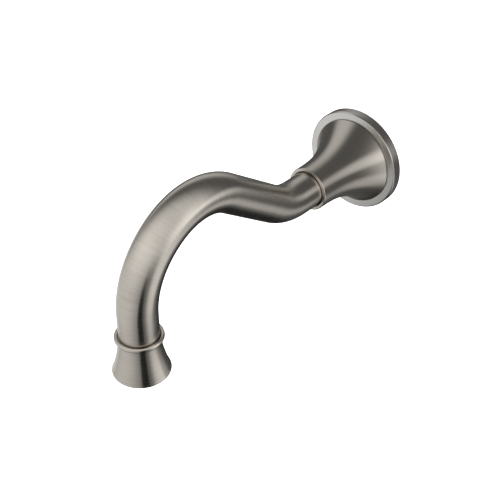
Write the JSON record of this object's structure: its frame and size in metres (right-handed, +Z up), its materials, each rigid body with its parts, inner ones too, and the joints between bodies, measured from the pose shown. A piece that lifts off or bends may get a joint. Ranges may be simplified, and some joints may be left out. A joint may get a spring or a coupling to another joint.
{
  "type": "wall mounted bath spout",
  "caption": "Brushed nickel bath spout: round wall flange, trumpet cover, S-curved tube that turns in its base, flared outlet bell with a screw-in aerator.",
  "frame": {"origin": "centre of the spout's base on the wall plane, where the wall nipple goes into the wall", "axes": "+Y into the wall along the inlet, +Z up, the spout reaches out along -Y and its outlet points down -Z"},
  "size_m": [0.072, 0.245, 0.1101],
  "materials": {
    "brushed_nickel": "warm brushed nickel plate, fine lines round the tube",
    "satin_plate": "satin nickel front face with a brighter polished edge",
    "chromed_brass": "polished chrome plate",
    "raw_brass": "turned, unplated",
    "stainless_steel": "plain stainless",
    "black_rubber": "smooth moulded EPDM",
    "white_acetal": "moulded acetal",
    "grey_foam": "closed-cell foam"
  },
  "bodies": {
    "base": {"flange_plate": "satin_plate", "wall_gasket": "grey_foam", "trumpet_cover": "brushed_nickel", "cover_oring": "black_rubber", "inlet_barrel": "raw_brass", "wall_nipple": "raw_brass", "nipple_seal": "black_rubber", "retaining_screw": "stainless_steel", "glide_washer": "white_acetal"},
    "spout": {"spout_tube": "brushed_nickel", "swivel_spigot": "raw_brass", "spigot_oring_rear": "black_rubber", "spigot_oring_front": "black_rubber", "slip_ring_rear": "white_acetal", "slip_ring_front": "white_acetal", "outlet_collar": "brushed_nickel", "outlet_bell": "brushed_nickel", "aerator_seal": "black_rubber"},
    "aerator_insert": {"aerator_cartridge": "white_acetal", "inlet_screen": "white_acetal", "jet_plate": "white_acetal", "mixing_screen_upper": "stainless_steel", "mixing_screen_lower": "stainless_steel", "outlet_grid": "white_acetal"},
    "aerator_ring": {"aerator_housing": "chromed_brass"}
  },
  "joints": [
    {"name": "spout_swing", "type": "hinge", "parent": "base", "child": "spout", "pos_m": [0, -0.0557, 0], "axis": [0, 1, 0], "range_deg": [-60, 60]},
    {"name": "aerator_drop", "type": "slide", "parent": "spout", "child": "aerator_insert", "axis": [0, 0, -1], "range_m": [0, 0.004]},
    {"name": "aerator_unscrew", "type": "hinge", "parent": "aerator_insert", "child": "aerator_ring", "pos_m": [0, -0.21175, -0.02529], "axis": [0, 0, -1], "range_deg": [0, 1440.1]}
  ],
  "couplings": [
    {"joint": "aerator_unscrew", "follows": "aerator_drop", "rad_per_m": 6283.2}
  ]
}
